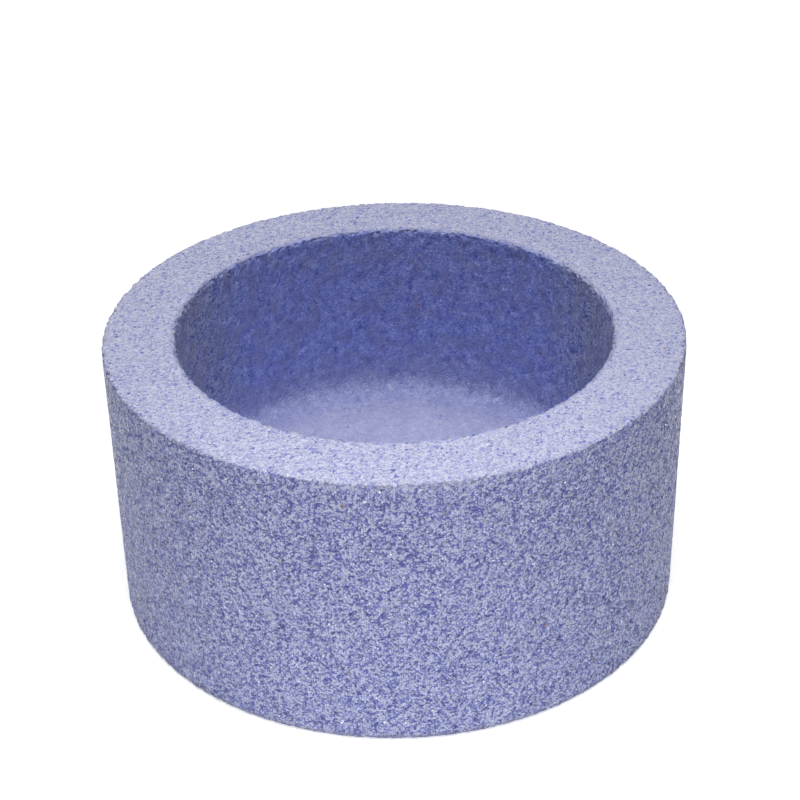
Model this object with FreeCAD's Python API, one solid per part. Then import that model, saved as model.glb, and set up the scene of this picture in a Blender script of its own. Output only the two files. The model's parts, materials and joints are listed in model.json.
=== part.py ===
import FreeCAD, Part

import os

from FreeCAD import Vector

# Straight cup grinding wheel: vitrified abrasive, pressed and fired as one piece.
# Millimetres. The origin is the centre of the back face, the one that the spindle flange
# presses on. +Z runs along the wheel's axis, from the back to the grinding rim.

# The five sizes a wheel maker would state, in the order of a straight cup's code: outside
# diameter, overall thickness, bore, rim width and thickness of the back.
WHEEL_DIAMETER = 100.0
WHEEL_THICKNESS = 50.0
BORE_DIAMETER = 20.0
RIM_WIDTH = 12.5
BACK_THICKNESS = 15.0

# Root radius where the recess wall runs into the recess floor. It takes the load of the
# cup's wall, so it is a real fillet and not a sharp corner.
RECESS_ROOT_RADIUS = 3.0

# Radii that dressing and use wear on the two edges of the grinding rim.
RIM_OUTER_EDGE_RADIUS = 0.5
RIM_INNER_EDGE_RADIUS = 0.8

# Flat edge breaks, cut when the fired wheel is faced and bored: round the back face, so that
# it doesn't chip, and at both mouths of the bore, so that the wheel slides on to its spindle.
BACK_EDGE_BREAK = 0.6
BORE_LEAD_IN = 0.5

AXIS = Vector(0, 0, 1)
CENTRE = Vector(0, 0, 0)

wheel_radius = WHEEL_DIAMETER / 2
bore_radius = BORE_DIAMETER / 2
recess_radius = wheel_radius - RIM_WIDTH


def half_section():
    """The wheel's cut face on one side of its axis, with every corner still sharp."""
    corners = [
        (bore_radius, 0),
        (wheel_radius, 0),
        (wheel_radius, WHEEL_THICKNESS),
        (recess_radius, WHEEL_THICKNESS),
        (recess_radius, BACK_THICKNESS),
        (bore_radius, BACK_THICKNESS),
    ]
    points = [Vector(radius, 0, height) for radius, height in corners]
    return Part.Face(Part.makePolygon(points + points[:1]))


def ring_edge(solid, radius, height):
    """The circular edge of a turned solid that lies at this radius and height."""
    close = 1e-6
    for edge in solid.Edges:
        curve = edge.Curve
        if isinstance(curve, Part.Circle):
            if abs(curve.Radius - radius) < close and abs(curve.Center.z - height) < close:
                return edge
    raise ValueError(f"no circular edge of radius {radius} at height {height}")


def round_ring(solid, radius, height, fillet_radius):
    """Round the corner that runs round the wheel at this radius and height."""
    return solid.makeFillet(fillet_radius, [ring_edge(solid, radius, height)])


def break_ring(solid, radius, height, width):
    """Cut a 45 degree flat on the corner that runs round the wheel here."""
    return solid.makeChamfer(width, [ring_edge(solid, radius, height)])


def grinding_wheel():
    """The turned cup, then its root fillet, its worn rim edges and its flat edge breaks."""
    wheel = half_section().revolve(CENTRE, AXIS, 360)
    wheel = round_ring(wheel, recess_radius, BACK_THICKNESS, RECESS_ROOT_RADIUS)
    wheel = round_ring(wheel, wheel_radius, WHEEL_THICKNESS, RIM_OUTER_EDGE_RADIUS)
    wheel = round_ring(wheel, recess_radius, WHEEL_THICKNESS, RIM_INNER_EDGE_RADIUS)
    wheel = break_ring(wheel, wheel_radius, 0, BACK_EDGE_BREAK)
    wheel = break_ring(wheel, bore_radius, 0, BORE_LEAD_IN)
    return break_ring(wheel, bore_radius, BACK_THICKNESS, BORE_LEAD_IN)


def export(shape, name):
    """Write one closed solid to its own STEP file and print what it measures."""
    solid = shape.Solids[0]
    assert len(shape.Solids) == 1 and solid.isValid(), f"{name} is not one sound solid"
    solid.exportStep(f"parts/{name}.step")
    box = solid.optimalBoundingBox()
    print(f"{name}: {box.XLength:.2f} x {box.YLength:.2f} x {box.ZLength:.2f} mm, "
          f"{solid.Volume / 1000:.1f} cm3, {len(solid.Faces)} faces")


os.makedirs("parts", exist_ok=True)
export(grinding_wheel(), "grinding_wheel")
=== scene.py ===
# %% [markdown]
# # A straight cup grinding wheel
#
# The object is one piece. Blue-violet aluminium oxide grains and a glassy bond were pressed
# into a cup, fired, and then faced and bored. Everything that the eye takes for "the wheel"
# is therefore a surface: hundreds of thousands of grains of about 0.4 mm, some of them torn
# out, with dark pores between them.
#
# The lesson builds that surface in four steps. The section is read from the fixed frame, so
# that no size is written twice. One closed mesh is turned from the section, fine enough to
# carry the coarser grain as real bumps and chips. A procedural material adds what is smaller
# than the mesh. A camera and soft studio light show it as the photograph does.

# %% Load the frame
import json
from math import cos, dist, pi, radians, sin

import bpy
import numpy as np
from mathutils import Matrix, Vector, noise


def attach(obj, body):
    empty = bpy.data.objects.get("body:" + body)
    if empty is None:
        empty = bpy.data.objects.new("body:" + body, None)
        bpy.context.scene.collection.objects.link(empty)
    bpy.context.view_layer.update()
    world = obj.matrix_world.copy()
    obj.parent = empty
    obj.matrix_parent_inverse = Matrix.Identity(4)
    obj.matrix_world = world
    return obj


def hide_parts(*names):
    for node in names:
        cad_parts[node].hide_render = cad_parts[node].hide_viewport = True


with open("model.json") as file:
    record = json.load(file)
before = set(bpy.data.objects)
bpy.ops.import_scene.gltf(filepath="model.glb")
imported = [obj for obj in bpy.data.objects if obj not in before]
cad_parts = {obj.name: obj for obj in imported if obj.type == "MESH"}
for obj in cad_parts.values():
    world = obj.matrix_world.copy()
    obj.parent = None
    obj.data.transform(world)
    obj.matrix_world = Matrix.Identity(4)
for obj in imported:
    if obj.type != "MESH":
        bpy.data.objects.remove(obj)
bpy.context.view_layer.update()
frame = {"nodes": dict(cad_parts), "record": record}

WHEEL = "grinding_wheel"
MM = 1000

cad_wheel = frame["nodes"][WHEEL]

# %% [markdown]
# ## The camera
#
# The picture was taken from a little above, with a long lens: the two rim ellipses shrink
# only slightly from front to back. The camera comes first, because the size of a grain in
# pixels decides how fine the mesh has to be. Four real numbers describe it: how far it
# stands from its aim point, how steeply it looks down, its lens, and the small roll that a
# hand-held shot has. Aiming with a look-at matrix and then rolling keeps them apart.

# %% Place the camera
CAMERA_AIM = Vector((0.0008, 0.0, 0.0347))
CAMERA_DISTANCE = 0.3228
CAMERA_LOOKS_DOWN = radians(30.92)
CAMERA_AZIMUTH = radians(0.16)
CAMERA_ROLL = radians(-1.09)
CAMERA_LENS_MM = 82.3

backwards = Vector((
    -sin(CAMERA_AZIMUTH) * cos(CAMERA_LOOKS_DOWN),
    -cos(CAMERA_AZIMUTH) * cos(CAMERA_LOOKS_DOWN),
    sin(CAMERA_LOOKS_DOWN),
))
camera_data = bpy.data.cameras.new("camera")
camera_data.lens = CAMERA_LENS_MM
camera = bpy.data.objects.new("camera", camera_data)
aimed = backwards.to_track_quat("Z", "Y").to_matrix().to_4x4()
camera.matrix_world = (
    Matrix.Translation(CAMERA_AIM + backwards * CAMERA_DISTANCE)
    @ aimed
    @ Matrix.Rotation(CAMERA_ROLL, 4, "Z")
)
bpy.context.scene.collection.objects.link(camera)
bpy.context.scene.camera = camera
print("camera stands at", [round(part, 3) for part in camera.matrix_world.translation])

# %% [markdown]
# ## The section, read from the frame
#
# A turned part is its half section. Typing its sizes again here would let the two models
# drift apart, so they are measured on the CAD mesh: every vertex of a cylinder lies exactly
# at that cylinder's radius, and the lowest and highest of them say where its edge breaks
# and fillets begin.

# %% Measure the CAD wheel
ON_SURFACE = 2e-5

cad_points = np.array([vertex.co for vertex in cad_wheel.data.vertices])
cad_radii = np.hypot(cad_points[:, 0], cad_points[:, 1])
cad_heights = cad_points[:, 2]


def cylinder_span(radius):
    """Height of the lowest and the highest CAD vertex on the cylinder of this radius."""
    heights = cad_heights[abs(cad_radii - radius) < ON_SURFACE]
    return heights.min(), heights.max()


seats = {mount["name"]: mount for mount in frame["record"]["mounts"]}
wheel_radius = cad_radii.max()
thickness = cad_heights.max()
floor_height = seats["flange_seat"]["pos_m"][2]
bore_radius = cad_radii.min()
recess_radius = cad_radii[cad_heights > (floor_height + thickness) / 2].min()

side_from, side_to = cylinder_span(wheel_radius)
wall_from, wall_to = cylinder_span(recess_radius)
back_break = side_from
rim_outer_edge = thickness - side_to
rim_inner_edge = thickness - wall_to
root_radius = wall_from - floor_height
lead_in = cylinder_span(bore_radius)[0]
print(f"wheel {wheel_radius * 2 * MM:.1f} mm across, recess {recess_radius * 2 * MM:.1f} mm,",
      f"root radius {root_radius * MM:.1f} mm, bore {bore_radius * 2 * MM:.1f} mm")

# %% [markdown]
# ## Rings of points round the section
#
# The grains show at about two pixels each, so a ring of points every half millimetre is as
# coarse as the outside may be. The whole wheel at that pitch would be too many triangles,
# and the places nobody sees closely don't need it. Each stretch of the section therefore
# has its own pitch along the section, and its own number of points round the wheel. Where
# that number changes it halves or doubles, so that neighbouring rings can be stitched.

# %% Two ways along the section
FINE, MEDIUM, COARSE = 576, 288, 144
SIDE_PITCH = 0.0005
EDGE_PITCH = 0.0003
WALL_PITCH = 0.0009
FLOOR_PITCH = 0.0011
BACK_PITCH = 0.0018
FINE_LIP = 0.002
QUARTER_TURN = pi / 2


def straight(start, end, pitch):
    """Points from start towards end, as (radius, height), without the end itself."""
    steps = max(1, round(dist(start, end) / pitch))
    shares = [step / steps for step in range(steps)]
    return [(start[0] + (end[0] - start[0]) * share,
             start[1] + (end[1] - start[1]) * share) for share in shares]


def arc(centre, radius, first, last, pitch):
    """Points along an arc of the section from angle first to angle last, without its end."""
    steps = max(2, round(radius * abs(last - first) / pitch))
    angles = [first + (last - first) * step / steps for step in range(steps)]
    return [(centre[0] + radius * cos(angle), centre[1] + radius * sin(angle))
            for angle in angles]


print("a fine ring has a point every", round(wheel_radius * 2 * pi / FINE * MM, 2), "mm")

# %% [markdown]
# The section is walked once round, starting at the bore's mouth in the back face: out along
# the back, up the side, over the rim, down into the recess and through the bore. Corners
# shared by two stretches have names, so that a stretch starts exactly where the last ended.

# %% Name the corners
back_middle = ((wheel_radius + bore_radius) / 2, 0)
back_inside = (bore_radius + lead_in, 0)
back_outside = (wheel_radius - back_break, 0)
side_bottom = (wheel_radius, back_break)
side_top = (wheel_radius, side_to)
rim_outside = (wheel_radius - rim_outer_edge, thickness)
rim_inside = (recess_radius + rim_inner_edge, thickness)
wall_top = (recess_radius, wall_to)
wall_lip = (recess_radius, wall_to - FINE_LIP)
wall_bottom = (recess_radius, wall_from)
floor_outside = (recess_radius - root_radius, floor_height)
floor_middle = ((recess_radius + bore_radius) / 2, floor_height)
floor_inside = (bore_radius + lead_in, floor_height)
bore_top = (bore_radius, floor_height - lead_in)
bore_bottom = (bore_radius, lead_in)
print("the grinding rim is", round((rim_outside[0] - rim_inside[0]) * MM, 1), "mm wide and flat")

# %% [markdown]
# Each stretch names its zone, which decides its pits and its place on the texture map. The
# rounded edges belong to the zones that they lead into, and both mouths of the bore to the
# bore. The wall is fine only at its lip, which the camera sees against the dark recess.

# %% Lay the rings
stretches = [
    ("back", COARSE, straight(back_inside, back_middle, BACK_PITCH)),
    ("back", MEDIUM, straight(back_middle, back_outside, BACK_PITCH)),
    ("side", FINE, straight(back_outside, side_bottom, EDGE_PITCH)),
    ("side", FINE, straight(side_bottom, side_top, SIDE_PITCH)),
    ("rim", FINE, arc((rim_outside[0], side_to), rim_outer_edge, 0, QUARTER_TURN, EDGE_PITCH)),
    ("rim", FINE, straight(rim_outside, rim_inside, SIDE_PITCH)),
    ("wall", FINE, arc((rim_inside[0], wall_to), rim_inner_edge, QUARTER_TURN, pi, EDGE_PITCH)),
    ("wall", FINE, straight(wall_top, wall_lip, SIDE_PITCH)),
    ("wall", MEDIUM, straight(wall_lip, wall_bottom, WALL_PITCH)),
    ("floor", MEDIUM, arc((floor_outside[0], wall_from), root_radius, 0, -QUARTER_TURN,
                          FLOOR_PITCH)),
    ("floor", MEDIUM, straight(floor_outside, floor_middle, FLOOR_PITCH)),
    ("floor", COARSE, straight(floor_middle, floor_inside, FLOOR_PITCH)),
    ("bore", COARSE, straight(floor_inside, bore_top, FLOOR_PITCH)),
    ("bore", COARSE, straight(bore_top, bore_bottom, FLOOR_PITCH)),
    ("bore", COARSE, straight(bore_bottom, back_inside, FLOOR_PITCH)),
]
section = np.array([point for _, _, points in stretches for point in points])
ring_zone = [zone for zone, _, points in stretches for _ in points]
ring_count = np.array([count for _, count, points in stretches for _ in points])
ring_start = np.concatenate([[0], np.cumsum(ring_count)])
rings = len(section)
print(rings, "rings,", ring_start[-1], "points")

# %% [markdown]
# ## Grain as geometry
#
# A dressed abrasive face isn't rough like sand. The diamond has cut it to one plane, and
# what lies under that plane is where grains were torn out. So every point moves only
# inwards from the true surface: most of them hardly at all, a few by most of a grain. The
# CAD size stays the outside size, and the outline still gets its crumbly look.
#
# Where two faces meet, whole grains break away. So within about a millimetre of the rim's
# two corners the pits grow deeper, and bites of two sizes are taken out of the edge as well.
# A bite is a smooth noise cut off below a level, which leaves an intact edge between the
# bites. A random sideways shift of each point hides the regular rings.

# %% How deep a point lies
SEED = 7
SIDEWAYS = 0.32
PIT_DEPTH = {"rim": 0.00014, "side": 0.00032, "wall": 0.00030, "floor": 0.00024,
             "back": 0.00018, "bore": 0.00018}
PIT_RARITY = 2.0
CORNER_REACH = 0.0011
OUTER_CORNER_PIT = 0.00015
INNER_CORNER_PIT = 0.00050
BITES = ((0.0016, 0.0004, 0.10), (0.0008, 0.0004, 0.05))

random = np.random.default_rng(SEED)
step_after = np.roll(section, -1, axis=0) - section
gap_after = np.hypot(step_after[:, 0], step_after[:, 1])
along = np.roll(section, -1, axis=0) - np.roll(section, 1, axis=0)
along /= np.hypot(along[:, 0], along[:, 1])[:, None]


def nearness(spot, corner, reach=CORNER_REACH):
    """1 at this corner of the section, falling to 0 at the reach from it."""
    return max(0.0, 1 - dist(spot, corner) / reach)


def bite_depth(spot):
    """How far a corner of the rim is bitten away at this spot."""
    return sum(depth * max(0.0, noise.noise(Vector(spot) / size) - level)
               for size, depth, level in BITES)


print("once round the section is", round(gap_after.sum() * MM, 1), "mm")

# %% [markdown]
# Each ring is laid in turn. Three random numbers a point shift it round the wheel, shift it
# along the section and sink it. What was drawn for the pit is kept as a mesh attribute, so that
# the material can paint shade into the same pits that the light finds.

# %% Roughen the points
FULL_TURN = 2 * pi

points, pit_share, angle_share, walked = [], [], [], []
distance_walked = np.concatenate([[0], np.cumsum(gap_after)])
for ring, (ring_radius, ring_height) in enumerate(section):
    count = ring_count[ring]
    shares = (np.arange(count) + random.uniform(-SIDEWAYS, SIDEWAYS, count)) / count
    slides = random.uniform(-SIDEWAYS, SIDEWAYS, count) * gap_after[ring]
    pits = random.random(count) ** PIT_RARITY
    outer = nearness((ring_radius, ring_height), (wheel_radius, thickness))
    inner = nearness((ring_radius, ring_height), (recess_radius, thickness))
    pit_depth = PIT_DEPTH[ring_zone[ring]] + outer * OUTER_CORNER_PIT + inner * INNER_CORNER_PIT
    along_radius, along_height = along[ring]
    for share, slide, depth in zip(shares, slides, pits * pit_depth):
        to_x, to_y = cos(share * FULL_TURN), sin(share * FULL_TURN)
        if outer or inner:
            spot = (ring_radius * to_x, ring_radius * to_y, ring_height)
            depth += (outer + inner) * bite_depth(spot)
        radius = min(ring_radius + along_radius * slide - along_height * depth, wheel_radius)
        level = ring_height + along_height * slide + along_radius * depth
        points.append((radius * to_x, radius * to_y, min(max(level, 0.0), thickness)))
    pit_share.extend(pits)
    angle_share.extend(shares)
    walked.extend(distance_walked[ring] + slides)

laid = np.array(points)
on_side = (np.repeat(ring_zone, ring_count) == "side") & (laid[:, 2] > back_break)
deepest = wheel_radius - np.hypot(laid[on_side, 0], laid[on_side, 1]).min()
print(f"the side's deepest point lies {deepest * MM:.2f} mm in")

# %% [markdown]
# ## Stitch the rings into one closed mesh
#
# Two rings with the same number of points are joined by quads. Where the number halves,
# each long edge meets two short ones through three triangles, which leaves no gap and no
# loose vertex. The last ring is stitched to the first, so the wheel closes on itself
# through its bore. A corner is kept as a ring and a column that isn't wrapped round, because
# the texture map further down needs to know on which side of the seam it lies.

# %% Stitch
wheel_faces = []
for ring in range(rings):
    following = (ring + 1) % rings
    points_here, points_there = ring_count[ring], ring_count[following]
    for i in range(min(points_here, points_there)):
        if points_here == points_there:
            wheel_faces.append(((ring, i), (following, i), (following, i + 1), (ring, i + 1)))
        elif points_here < points_there:
            wheel_faces.append(((ring, i), (following, 2 * i), (following, 2 * i + 1)))
            wheel_faces.append(((ring, i), (following, 2 * i + 1), (ring, i + 1)))
            wheel_faces.append(((ring, i + 1), (following, 2 * i + 1), (following, 2 * i + 2)))
        else:
            wheel_faces.append(((following, i), (ring, 2 * i + 1), (ring, 2 * i)))
            wheel_faces.append(((following, i), (following, i + 1), (ring, 2 * i + 1)))
            wheel_faces.append(((following, i + 1), (ring, 2 * i + 2), (ring, 2 * i + 1)))

triangles = sum(len(face) - 2 for face in wheel_faces)
print(f"{len(wheel_faces)} faces, {triangles} triangles")

# %% [markdown]
# Blender wants a vertex number for each corner. The wheel's mesh is then made in one call,
# with a smooth shade, so that light runs softly over what is finer than a triangle.

# %% Make the mesh
corner_ring = np.array([ring for face in wheel_faces for ring, _ in face])
corner_column = np.array([column for face in wheel_faces for _, column in face])
corner_vertex = ring_start[corner_ring] + corner_column % ring_count[corner_ring]
face_sizes = np.array([len(face) for face in wheel_faces])
face_ends = np.cumsum(face_sizes)
face_starts = face_ends - face_sizes
face_vertices = [corner_vertex[start:end].tolist() for start, end in zip(face_starts, face_ends)]

wheel_mesh = bpy.data.meshes.new(WHEEL)
wheel_mesh.from_pydata(points, [], face_vertices)
wheel_mesh.shade_smooth()
wheel = bpy.data.objects.new("abrasive_wheel", wheel_mesh)
bpy.context.scene.collection.objects.link(wheel)
print("mesh made of", len(wheel_mesh.vertices), "vertices")

# %% [markdown]
# The material has to know four things that a place in space doesn't tell: how deep a point is
# sunk, whether it lies in the recess, how much of the recess wall's deeper blue it shows, and
# how near it is to the edge that the wheel stands on. Float attributes on the points carry them.
# The wall's deeper blue is painted shade: the recess is painted in a shaded copy of its colour
# on the wall and a lit copy on the floor. The blue doesn't end at a line. It pales down the
# wall's last six millimetres and reaches onto the floor round the corner, so its share is given
# at four distances along the section, counted from where the wall runs into its root radius.

# %% Mark the points
FOOT_REACH = 0.0016
SHADE_BLUE_ALONG = (-0.0060, 0.0, 0.0047, 0.0092)
SHADE_BLUE_SHARE = (1.0, 0.42, 0.32, 0.0)

wall_end = distance_walked[ring_zone.index("floor")]
in_recess = np.array([float(zone in ("wall", "floor")) for zone in ring_zone])
# The wall's share of deeper blue: painted shade that fades onto the floor round the corner.
per_ring = {
    "wall": in_recess * np.interp(distance_walked[:-1] - wall_end, SHADE_BLUE_ALONG, SHADE_BLUE_SHARE),
    "recess": in_recess,
    "foot": [nearness(spot, (wheel_radius, 0), FOOT_REACH) for spot in section],
}
marks = {name: np.repeat(values, ring_count) for name, values in per_ring.items()}
marks["pit"] = pit_share
for name, values in marks.items():
    wheel_mesh.attributes.new(name, "FLOAT", "POINT").data.foreach_set("value", values)
print("attributes:", ", ".join(marks))

# %% [markdown]
# ## A texture map of its own
#
# Nothing here is an image, but whoever exports the wheel bakes the material into one, and an
# automatic unwrap would cut a rough mesh into thousands of islands. A turned part unrolls one
# surface at a time: the side and the rim as two long strips each, the recess wall as four short
# ones, the bore as one, and the back and the recess floor as discs, a little under scale so that
# they fit. They are laid out like parcels on a square sheet of real size, with a gutter between
# them.

# %% Lay out the sheet
SHEET = 0.2245
GUTTER = 0.0015
BACK_SCALE = 0.92
FLOOR_SCALE = 0.80

zone_ends = {zone: distance_walked[ring + 1] for ring, zone in enumerate(ring_zone)}
zone_starts = dict(zip(zone_ends, [0.0, *zone_ends.values()]))
zone_lengths = {zone: zone_ends[zone] - zone_starts[zone] for zone in zone_ends}
strip_counts = {"side": 2, "rim": 2, "wall": 4, "bore": 1}
strip_radii = {"side": wheel_radius, "rim": wheel_radius, "wall": recess_radius,
               "bore": bore_radius}

right_column = pi * wheel_radius + 2 * GUTTER
strip_places = {}
for column, zones in ((GUTTER, ("side", "rim")), (right_column, ("wall", "bore"))):
    above = GUTTER
    for zone in zones:
        strip_places[zone] = (column, above)
        above += strip_counts[zone] * (zone_lengths[zone] + GUTTER)
    print(zones, "reach", round(above * MM, 1), "mm of", SHEET * MM)

back_reach = wheel_radius * BACK_SCALE
floor_reach = (bore_radius + zone_lengths["floor"]) * FLOOR_SCALE
back_centre = (GUTTER + back_reach, SHEET - GUTTER - back_reach)
floor_centre = (SHEET - GUTTER - floor_reach, SHEET - GUTTER - floor_reach)

# %% [markdown]
# Every corner of every face has a share of the way round the wheel and a distance along the
# section. Both run on past the seam instead of starting again at 0: the columns that aren't
# wrapped round see to the first, and the faces that close the section to the second.

# %% Measure the corners
corner_share = np.array(angle_share)[corner_vertex]
corner_share = corner_share + (corner_column >= ring_count[corner_ring])
face_ring = np.minimum.reduceat(corner_ring, face_starts)
closing = np.maximum.reduceat(corner_ring, face_starts) - face_ring > 1
face_ring[closing] = rings - 1
past_seam = np.repeat(closing, face_sizes) & (corner_ring == 0)
corner_walk = np.array(walked)[corner_vertex] + distance_walked[-1] * past_seam
corner_zone = np.repeat(np.array(ring_zone)[face_ring], face_sizes)
print(closing.sum(), "faces close the section")

# %% [markdown]
# Now each corner gets its place on the sheet. A face belongs to the strip in which its first
# corner starts, so no face is torn at a strip's end.

# %% Place the corners on the sheet
first_corner = np.repeat(face_starts, face_sizes)
first_share = (corner_column / ring_count[corner_ring])[first_corner]
uv = np.zeros((len(corner_share), 2))
for zone, strips in strip_counts.items():
    here = corner_zone == zone
    strip = np.floor(first_share * strips)[here]
    left, below = strip_places[zone]
    around = (corner_share[here] - strip / strips) * FULL_TURN * strip_radii[zone]
    climb = corner_walk[here] - zone_starts[zone] + strip * (zone_lengths[zone] + GUTTER)
    uv[here] = np.stack([left + around, below + climb], axis=1)
for zone, centre, scale in (("back", back_centre, BACK_SCALE),
                            ("floor", floor_centre, FLOOR_SCALE)):
    here = corner_zone == zone
    from_bore = corner_walk if zone == "back" else zone_ends["floor"] - corner_walk
    reach = (bore_radius + lead_in + from_bore[here]) * scale
    angle = corner_share[here] * FULL_TURN
    uv[here] = np.stack([centre[0] + reach * np.cos(angle),
                         centre[1] + reach * np.sin(angle)], axis=1)
uv /= SHEET
uv_layer = wheel_mesh.uv_layers.new(name="OFBake")
uv_layer.data.foreach_set("uv", uv.ravel())
print("map spans", uv.min(axis=0).round(3), "to", uv.max(axis=0).round(3))

# %% [markdown]
# ## Wires that can be added and multiplied
#
# A procedural material is arithmetic on a few textures. Written as calls that make a node
# and link it, the arithmetic disappears behind the plumbing. A small class that wraps an
# output socket brings it back: `1 - grain` or `tone * contrast` adds the Math node that
# does it. Colours and vectors have methods of their own, because a Math node would turn
# them grey.

# %% The Wire class


def set_stops(color_ramp, stops):
    """Give a colour ramp these (position, colour) stops and no others."""
    while len(color_ramp.elements) < len(stops):
        color_ramp.elements.new(1.0)
    for element, (position, colour) in zip(color_ramp.elements, stops):
        element.position = position
        element.color = colour


class Wire:
    """The output of a shader node. Arithmetic on it adds the Math nodes that do the same."""

    def __init__(self, socket):
        self.socket = socket

    def node(self, kind, settings=None, inputs=None, output=0):
        """A new node of any kind in the same tree: settings first, then values or wires."""
        tree = self.socket.id_data
        made = tree.nodes.new(kind)
        for name, value in (settings or {}).items():
            if name == "stops":
                set_stops(made.color_ramp, value)
            else:
                setattr(made, name, value)
        for name, value in (inputs or {}).items():
            if isinstance(value, Wire):
                tree.links.new(value.socket, made.inputs[name])
            else:
                made.inputs[name].default_value = value
        return Wire(made.outputs[output])

    def other(self, name):
        """Another output of the node that this wire comes from."""
        return Wire(self.socket.node.outputs[name])

    def feed(self, socket):
        """Plug this wire into a shader's socket."""
        self.socket.id_data.links.new(self.socket, socket)

    def math(self, operation, *values):
        """A Math node on this wire's tree, with these values or wires as its inputs."""
        return self.node("ShaderNodeMath", {"operation": operation}, dict(enumerate(values)))

    def __add__(self, other):
        return self.math("ADD", self, other)

    def __radd__(self, other):
        return self.math("ADD", other, self)

    def __sub__(self, other):
        return self.math("SUBTRACT", self, other)

    def __rsub__(self, other):
        return self.math("SUBTRACT", other, self)

    def __mul__(self, other):
        return self.math("MULTIPLY", self, other)

    def __rmul__(self, other):
        return self.math("MULTIPLY", other, self)

    def above(self, edge):
        """1 where this wire is greater than edge, and 0 elsewhere."""
        return self.math("GREATER_THAN", self, edge)

    def ramp(self, low, high):
        """0 below low, 1 above high, and smooth between them."""
        return self.node("ShaderNodeMapRange", {"interpolation_type": "SMOOTHSTEP"},
                         {"Value": self, "From Min": low, "From Max": high})

    def blend(self, low, high, how="MIX"):
        """The colour low where this wire is 0. Where it is 1, high is mixed in or multiplied."""
        return self.node("ShaderNodeMix", {"data_type": "RGBA", "blend_type": how},
                         {0: self, 6: low, 7: high}, 2)

    def vector(self, operation, *values):
        """A Vector Math node, with these vectors or wires as its inputs."""
        return self.node("ShaderNodeVectorMath", {"operation": operation},
                         dict(enumerate(values)))


print("a Wire has", len([name for name in vars(Wire) if callable(getattr(Wire, name))]),
      "methods")

# %% [markdown]
# Every material starts the same way: with a Principled shader, and with the place on the
# object as the first wire. Object coordinates stay with the piece wherever it is moved, and
# they are in metres, so a texture's scale is one over the size of what it draws.

# %% Start a material


def new_material(name):
    """A material, its Principled shader, and a wire with the place on the object."""
    material = bpy.data.materials.new(name)
    material.use_nodes = True
    tree = material.node_tree
    coordinates = tree.nodes.new("ShaderNodeTexCoord")
    return material, tree.nodes["Principled BSDF"], Wire(coordinates.outputs["Object"])


abrasive, skin, place = new_material("vitrified_abrasive")
print(abrasive.name, "starts with", len(abrasive.node_tree.nodes), "nodes")

# %% [markdown]
# ## Grains
#
# Each grain is a broken crystal with a colour and flat facets of its own. A Voronoi texture is
# made for that: it cuts space into cells of one grain each, and gives every cell a random
# colour. A second, finer one stands for the splinters and the bond. Their luck, a random number
# for each cell, goes on to the colour. What lies far from the middle of every grain is a pore
# between them, which the tone darkens as painted shade.

# %% Cut space into grains
GRAIN = 0.00038
SPLINTER = 0.00021
PORE_FROM, PORE_TO = 0.35, 0.75


def cells(size):
    """Space cut into random cells of this size: the distance to the middle of its cell."""
    return place.node("ShaderNodeTexVoronoi", {"feature": "F1"},
                      {"Vector": place, "Scale": 1 / size})


def clouds(size):
    """A soft noise between 0 and 1, with clouds of about this size."""
    return place.node("ShaderNodeTexNoise", None, {"Vector": place, "Scale": 1 / size}, "Fac")


def luck(cell, output=0):
    """One random number for each cell. Outputs 0, 1 and 2 are independent of each other."""
    return cell.node("ShaderNodeSeparateColor", None, {"Color": cell.other("Color")}, output)


def mark(name):
    """A wire with one of the mesh's own attributes."""
    return place.node("ShaderNodeAttribute", {"attribute_name": name}, None, "Fac")


grain = cells(GRAIN)
splinter = cells(SPLINTER)
pore = grain.ramp(PORE_FROM, PORE_TO)
print(f"about {1 / (GRAIN * MM) ** 2:.0f} grains to a square millimetre")

# %% [markdown]
# ## Where the wheel was dressed
#
# The rim was cut flat by a diamond, so its grains are freshly broken: paler, less blue and
# all at one height. The recess and the side came straight from the mould and the kiln. The
# rim is found by height, and not by a painted mask, because then a pit or a bitten edge
# that lies under the cut plane keeps the undressed colour by itself. The millimetre below
# it is the lip, where the deeper blue of the bond shows in the broken edge. A few grains
# were torn out whole. On the rim each leaves a hole with the undressed blue at its bottom,
# and elsewhere it is only a little darker than its neighbours.

# %% Find the dressed rim
MIDDLE = 0.5
DRESSED_BELOW_TOP = 0.00050
DRESSED_FADE = 0.00030
DRESSED_UNEVEN = 0.00050
LIP_FROM, LIP_TO = 0.0013, 0.0005
TORN_SHARE = 0.055
TORN_SHOWS = 0.85

cut_plane = thickness - DRESSED_BELOW_TOP
upwards = place.node("ShaderNodeSeparateXYZ", None, {"Vector": place}, "Z")
height = upwards + (luck(grain, 2) - MIDDLE) * DRESSED_UNEVEN
torn = 1 - luck(grain, 1).above(TORN_SHARE)
dressed = height.ramp(cut_plane, cut_plane + DRESSED_FADE) * (1 - TORN_SHOWS * torn)
lip = height.ramp(thickness - LIP_FROM, thickness - LIP_TO) * (1 - dressed)
print(f"dressed above {cut_plane * MM:.2f} mm")

# %% [markdown]
# The rest of the wheel isn't painted evenly either. At the front, over some 25 mm, the side is
# paler and calmer for two millimetres below the rim, so that the rim ends in a soft band instead
# of a line. In the recess the floor is painted paler, as the lit copy of the recess colour,
# wherever the wall's deeper blue, which is painted shade, doesn't show. A painted sheen and
# shade greys that blue towards the wall's left and right ends, where the wall is seen edge-on.

# %% Find the paler front band, the lit floor and the painted sheen and shade
FRONT_BAND_FROM, FRONT_BAND_TO = -0.0493, -0.0476
FRONT_BAND_DOWN = 0.0024
SHEEN_AND_SHADE_FROM, SHEEN_AND_SHADE_TO = 0.026, 0.037

forwards = upwards.other("Y")
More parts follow.
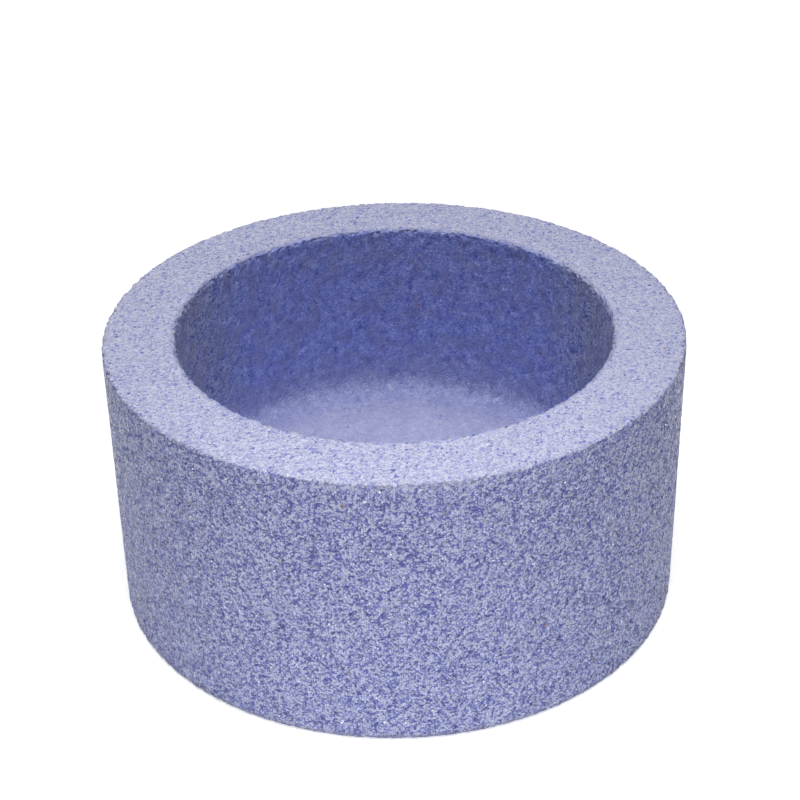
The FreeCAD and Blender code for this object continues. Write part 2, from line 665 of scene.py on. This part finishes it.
# A paler, calmer band at the front of the side, just below the rim.
paler_front_band = 1 - forwards.ramp(FRONT_BAND_FROM, FRONT_BAND_TO)
paler_front_band = paler_front_band * height.ramp(thickness - FRONT_BAND_DOWN, cut_plane) * (1 - dressed)
wall = mark("wall")
recess = mark("recess")
# Painted light: the floor's lit copy of the recess colour, where the wall's blue doesn't show.
lit_floor = recess - wall
across = upwards.other("X")
# Painted sheen and shade: the wall's blue greyed and a little darker towards its left and right
# ends, where it is seen edge-on.
painted_sheen_and_shade = across.math("ABSOLUTE", across).ramp(SHEEN_AND_SHADE_FROM, SHEEN_AND_SHADE_TO) * wall * (1 - dressed)
print(f"rubbed to {FRONT_BAND_DOWN * MM:.1f} mm below the top")

# %% [markdown]
# ## Tone
#
# One number, the tone, says how pale a grain is. It is mostly luck, with painted shade that
# makes it darker in the pits and pores where the light is lost. The contrast is lower on the
# dressed rim, in the paler front band and in the recess, where bond dust fills the pores. The
# wall keeps a little more of it than the floor, and most at its ends under the painted sheen and
# shade. In the recess the dust lies unevenly instead, in soft patches a few grains wide. The
# front band and the floor are also painted paler, the floor as the lit copy of the recess
# colour.

# %% How pale each grain is
GRAIN_LUCK, SPLINTER_LUCK = 0.45, 0.35
PORE_SHADE, PIT_SHADE = 0.20, 0.20
LIP_DARKER, TORN_DARKER = 0.04, 0.12
PIT_SEEN_FROM = 0.4
TONE_MEAN = 0.245
TONE_GAIN = 2.2
DRESSED_CALMER, RECESS_CALMER, FRONT_BAND_CALMER = 0.42, 0.77, 0.30
WALL_LIVELIER, SHEEN_AND_SHADE_LIVELIER = 0.10, 0.50
LIT_FLOOR_PALER, FRONT_BAND_PALER = 0.09, 0.34
PATCH = 0.0014
PATCHY, RECESS_PATCHIER, WALL_PATCHIER = 0.25, 0.25, 0.50

pit = mark("pit").ramp(PIT_SEEN_FROM, 1.0)
tone = GRAIN_LUCK * luck(grain) + SPLINTER_LUCK * luck(splinter)
# Painted shade: darker in the pores between grains and in the pits.
tone = tone - PORE_SHADE * pore - PIT_SHADE * pit - LIP_DARKER * lip - TORN_DARKER * torn
contrast = 1.0 - DRESSED_CALMER * dressed - RECESS_CALMER * recess - FRONT_BAND_CALMER * paler_front_band
contrast = TONE_GAIN * (contrast + WALL_LIVELIER * wall + SHEEN_AND_SHADE_LIVELIER * painted_sheen_and_shade)
tone = (tone - TONE_MEAN) * contrast + MIDDLE + LIT_FLOOR_PALER * lit_floor + FRONT_BAND_PALER * paler_front_band
patchiness = PATCHY + RECESS_PATCHIER * recess + WALL_PATCHIER * wall
tone = tone + (clouds(PATCH) - MIDDLE) * patchiness
print("the tone takes", len(abrasive.node_tree.nodes), "nodes")

# %% [markdown]
# ## Colour
#
# Colour ramps turn the tone into the colours of the real grains: dark ones are a deep blue, pale
# ones nearly white. The side, the dressed rim and the recess wall have a ramp each. The side and
# the rim differ in how far the blue goes grey as it gets paler, and the wall's ramp is a deeper
# blue, painted shade for the shaded recess. The floor is painted mostly in rim colour, as the
# lit copy of the recess.

# %% Three ramps
SIDE_COLOURS = [(0.05, (0.064, 0.079, 0.40, 1)), (0.30, (0.177, 0.205, 0.56, 1)),
                (0.50, (0.272, 0.309, 0.67, 1)), (0.70, (0.374, 0.411, 0.76, 1)),
                (0.95, (0.665, 0.700, 0.95, 1))]
RIM_COLOURS = [(0.05, (0.132, 0.160, 0.44, 1)), (0.30, (0.265, 0.289, 0.51, 1)),
               (0.50, (0.354, 0.367, 0.55, 1)), (0.70, (0.428, 0.439, 0.60, 1)),
               (0.95, (0.566, 0.582, 0.71, 1))]
SHADED_WALL_COLOURS = [(0.05, (0.058, 0.084, 0.44, 1)), (0.30, (0.165, 0.210, 0.60, 1)),
                (0.50, (0.240, 0.294, 0.71, 1)), (0.70, (0.315, 0.372, 0.78, 1)),
                (0.95, (0.460, 0.527, 0.88, 1))]
LIT_FLOOR_SHOWS = 0.7


def coloured(stops):
    """The tone turned into colour by these stops."""
    return tone.node("ShaderNodeValToRGB", {"stops": stops}, {"Fac": tone})


# The recess wall's deeper blue is painted shade; the floor takes rim colour as its painted lit
# copy.
colour = wall.blend(coloured(SIDE_COLOURS), coloured(SHADED_WALL_COLOURS))
colour = (dressed + lit_floor * LIT_FLOOR_SHOWS).blend(colour, coloured(RIM_COLOURS))
print("three ramps of", len(SIDE_COLOURS), "stops")

# %% [markdown]
# Three layers are painted over the grains. A grey haze hangs on the wall in clouds of a few
# millimetres. A painted sheen and shade takes some of the blue out of the wall towards its left
# and right ends, where it is seen edge-on. The edge that the wheel stands on is grey and darker:
# partly wear from being rubbed over benches, partly painted contact shade. The sheen and shade
# multiplies, so that the grains keep their contrast, and the others cover.

# %% Haze, painted sheen and shade, and the foot's wear and painted shade
HAZE = 0.0035
HAZE_FROM, HAZE_TO = 0.45, 0.62
HAZE_SHOWS = 0.45
HAZE_GREY = (0.240, 0.250, 0.46, 1)
SHEEN_AND_SHADE_GREY = (0.98, 0.93, 0.72, 1)
FOOT_FULL = 0.75
FOOT_SHOWS = 0.75
FOOT_WEAR_AND_SHADE_GREY = (0.20, 0.21, 0.33, 1)

haze = clouds(HAZE).ramp(HAZE_FROM, HAZE_TO) * wall * HAZE_SHOWS
# Painted grey at the foot: partly wear, partly painted contact shade.
foot = mark("foot").ramp(0.0, FOOT_FULL) * FOOT_SHOWS
colour = haze.blend(colour, HAZE_GREY)
# The painted sheen and shade multiplies over the wall's ends.
colour = painted_sheen_and_shade.blend(colour, SHEEN_AND_SHADE_GREY, "MULTIPLY")
colour = foot.blend(colour, FOOT_WEAR_AND_SHADE_GREY)
print("haze in clouds of", HAZE * MM, "mm")

# %% [markdown]
# A few grains aren't like the rest. Now and then one holds more colour than its neighbours
# and makes a clear blue spot, and a rare one is a brown bit of iron oxide. Large Voronoi
# cells give each a place: only what is close to the middle of a chosen cell is stained.
# On the side, which is neither dressed nor dusty, a few splinters of clean crystal glint.
# They throw back nearly all the light that falls on them, as a metal does, so Metallic makes
# them.

# %% Stray grains
STRAY_SPACING = 0.0045
STRAY_RADIUS = 0.00030
BLUE_SHARE, BLUE_SHOWS = 0.18, 0.55
BROWN_SHARE, BROWN_SHOWS = 0.20, 0.80
GLINT_SHARE = 0.003
SPOT_BLUE = (0.06, 0.09, 0.50, 1)
IRON_BROWN = (0.26, 0.12, 0.05, 1)
GLINT_WHITE = (0.93, 0.94, 0.98, 1)

stray = cells(STRAY_SPACING)
near = 1 - stray.above(STRAY_RADIUS / STRAY_SPACING)
blue_spot = near * luck(stray).above(1 - BLUE_SHARE)
brown_spot = near * (1 - luck(stray).above(BROWN_SHARE))
glint = luck(splinter, 1).above(1 - GLINT_SHARE) * (1 - dressed) * (1 - recess)
colour = (blue_spot * BLUE_SHOWS).blend(colour, SPOT_BLUE)
colour = (brown_spot * BROWN_SHOWS).blend(colour, IRON_BROWN)
colour = glint.blend(colour, GLINT_WHITE)
colour.feed(skin.inputs["Base Color"])
glint.feed(skin.inputs["Metallic"])
print("one splinter in", round(1 / GLINT_SHARE), "glints")

# %% [markdown]
# ## Facets and sparkle
#
# What makes an abrasive glitter is that every crystal shows a flat facet, turned its own
# way. A bump map alone rounds them. Instead the shading normal is pushed by the grain's own
# random vector, which is constant over the grain and so lights it as one flat facet. A
# little bump on top separates the grains. Dressing has levelled the rim and dust the recess,
# so their facets tilt less.

# %% Tilt the facets
FACET_TILT = 1.2
DRESSED_LEVELLED, RECESS_LEVELLED = 0.70, 0.55
GRAIN_RELIEF = 0.00016

facing = place.node("ShaderNodeNewGeometry", None, None, "Normal")
push = facing.vector("SUBTRACT", grain.other("Color"), (MIDDLE, MIDDLE, MIDDLE))
tilt = FACET_TILT * (1 - DRESSED_LEVELLED * dressed - RECESS_LEVELLED * recess)
push = push.node("ShaderNodeVectorMath", {"operation": "SCALE"}, {0: push, "Scale": tilt})
faceted = facing.vector("NORMALIZE", facing.vector("ADD", facing, push))
bump = grain.node("ShaderNodeBump", None,
                  {"Height": 1 - grain, "Distance": GRAIN_RELIEF, "Normal": faceted},
                  "Normal")
bump.feed(skin.inputs["Normal"])
print("each part of a facet's push reaches", FACET_TILT * MIDDLE, "of the normal's length")

# %% [markdown]
# Most facets are dull with bond, the clean ones are glassy. Fused alumina bends light more
# than glass does, with an index of 1.77, so it also reflects more. That reflection grows
# where the surface turns away, and makes the wheel's left and right greyer than its front.

# %% Polish the clean facets
CLEAN_FROM, CLEAN_TO = 0.45, 0.85
DRESSED_DULLER, RECESS_DULLER = 0.5, 0.7
DULL, GLASSY = 0.70, 0.18
ALUMINA_INDEX = 1.77

clean = luck(grain, 1).ramp(CLEAN_FROM, CLEAN_TO)
clean = clean * (1 - DRESSED_DULLER * dressed) * (1 - RECESS_DULLER * recess)
(DULL + (GLASSY - DULL) * clean).feed(skin.inputs["Roughness"])
skin.inputs["IOR"].default_value = ALUMINA_INDEX
wheel_mesh.materials.append(abrasive)
print("the whole material has", len(abrasive.node_tree.nodes), "nodes")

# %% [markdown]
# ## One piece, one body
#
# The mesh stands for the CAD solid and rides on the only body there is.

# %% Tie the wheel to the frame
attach(wheel, "root")
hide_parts(WHEEL)
print(wheel.name, "stands for", WHEEL)

# %% [markdown]
# ## Floor
#
# The wheel stands on white paper that fades into a white background. To the camera the
# paper glows, more so away from the wheel, so it turns pure white there but keeps the
# wheel's soft shadow. Glossy rays see the same white, or the grains would mirror a dark
# room. For the light that falls on the wheel the paper is a bright reflector, brighter in
# front and behind than at the sides, so the wheel darkens as it turns away to either side.

# %% How the paper glows
PAPER_WHITE = 0.90
PAPER_GLOW_FRONT = 0.65
PAPER_GLOW_LOST = 0.46
PAPER_GLOW_SEEN = 0.62
PAPER_FADE_FROM = 0.12
PAPER_FADE_TO = 0.50
PURE_WHITE = 1.03
WHITE = (1, 1, 1, 1)


def seen_directly(wire):
    """1 for camera, glossy and transmission rays, and 0 for the light that lights things."""
    camera_ray = wire.node("ShaderNodeLightPath", None, None, "Is Camera Ray")
    seen = wire.math("MAXIMUM", camera_ray, camera_ray.other("Is Glossy Ray"))
    return wire.math("MAXIMUM", seen, camera_ray.other("Is Transmission Ray"))


paper, paper_skin, paper_place = new_material("paper")
away = paper_place.node("ShaderNodeVectorMath", {"operation": "LENGTH"}, {0: paper_place},
                        "Value")
faded = away.ramp(PAPER_FADE_FROM, PAPER_FADE_TO)
glow_seen = PAPER_GLOW_SEEN + (PURE_WHITE - PAPER_GLOW_SEEN) * faded
outwards = paper_place.vector("NORMALIZE", paper_place)
sideways = outwards.node("ShaderNodeSeparateXYZ", None, {"Vector": outwards}, "X")
glow_felt = PAPER_GLOW_FRONT - PAPER_GLOW_LOST * sideways * sideways
direct = seen_directly(paper_place)
(glow_felt + direct * (glow_seen - glow_felt)).feed(paper_skin.inputs["Emission Strength"])
paper_skin.inputs["Emission Color"].default_value = WHITE
paper_skin.inputs["Base Color"].default_value = (PAPER_WHITE, PAPER_WHITE, PAPER_WHITE, 1)
paper_skin.inputs["Roughness"].default_value = 1.0
paper_skin.inputs["Specular IOR Level"].default_value = 0.0
print("the paper reaches pure white", PAPER_FADE_TO, "m from the wheel's axis")

# %% [markdown]
# The paper itself is one square under the wheel, so wide that its edge never shows: there
# white meets white. It belongs to the stage and not to the wheel.

# %% Lay the paper
PAPER_SIZE = 6.0

half = PAPER_SIZE / 2
floor_mesh = bpy.data.meshes.new("floor")
floor_mesh.from_pydata([(-half, -half, 0), (half, -half, 0), (half, half, 0),
                        (-half, half, 0)], [], [(0, 1, 2, 3)])
floor_mesh.materials.append(paper)
floor = bpy.data.objects.new("floor", floor_mesh)
bpy.context.scene.collection.objects.link(floor)
print("paper", PAPER_SIZE, "m wide")

# %% [markdown]
# ## Light
#
# A big softbox hangs straight above, so the recess darkens softly towards its wall while
# the rim stays bright. A small one further forward, with a narrow beam that is aimed in
# front of the recess, lifts the near part of the rim and the front. Neither shows to the
# camera. The background is white where it is seen or mirrored, and lights nothing else.

# %% Softboxes
SOFTBOX_PLACE = Vector((0.0, 0.0, 0.30))
SOFTBOX_AIM = Vector((0.0, 0.0, 0.0))
SOFTBOX_RADIUS = 0.15
SOFTBOX_WATTS = 0.76
ACCENT_PLACE = Vector((0.0, -0.12, 0.20))
ACCENT_AIM = Vector((0.0, -0.08, 0.05))
ACCENT_RADIUS = 0.06
ACCENT_WATTS = 0.026
ACCENT_BEAM = radians(60)


def hang_softbox(name, spot, aim, radius, watts, beam=pi):
    """A round area light that only lights, and isn't itself seen by the camera."""
    data = bpy.data.lights.new(name, "AREA")
    data.shape = "DISK"
    data.size = radius * 2
    data.energy = watts
    data.spread = beam
    lamp = bpy.data.objects.new(name, data)
    lamp.visible_camera = False
    turned = (aim - spot).to_track_quat("-Z", "Y").to_matrix().to_4x4()
    lamp.matrix_world = Matrix.Translation(spot) @ turned
    bpy.context.scene.collection.objects.link(lamp)


hang_softbox("softbox", SOFTBOX_PLACE, SOFTBOX_AIM, SOFTBOX_RADIUS, SOFTBOX_WATTS)
hang_softbox("accent", ACCENT_PLACE, ACCENT_AIM, ACCENT_RADIUS, ACCENT_WATTS, ACCENT_BEAM)

world = bpy.data.worlds.new("studio")
world.use_nodes = True
bpy.context.scene.world = world
sky = world.node_tree.nodes["Background"]
sky.inputs["Color"].default_value = WHITE
(PURE_WHITE * seen_directly(Wire(sky.outputs[0]))).feed(sky.inputs["Strength"])
bpy.context.scene.view_settings.view_transform = "Standard"
print("softbox", SOFTBOX_WATTS, "W, accent", ACCENT_WATTS, "W")

# %% [markdown]
# The wheel has to fill the CAD model's box and not leave it. that they can be compared after
# each render.
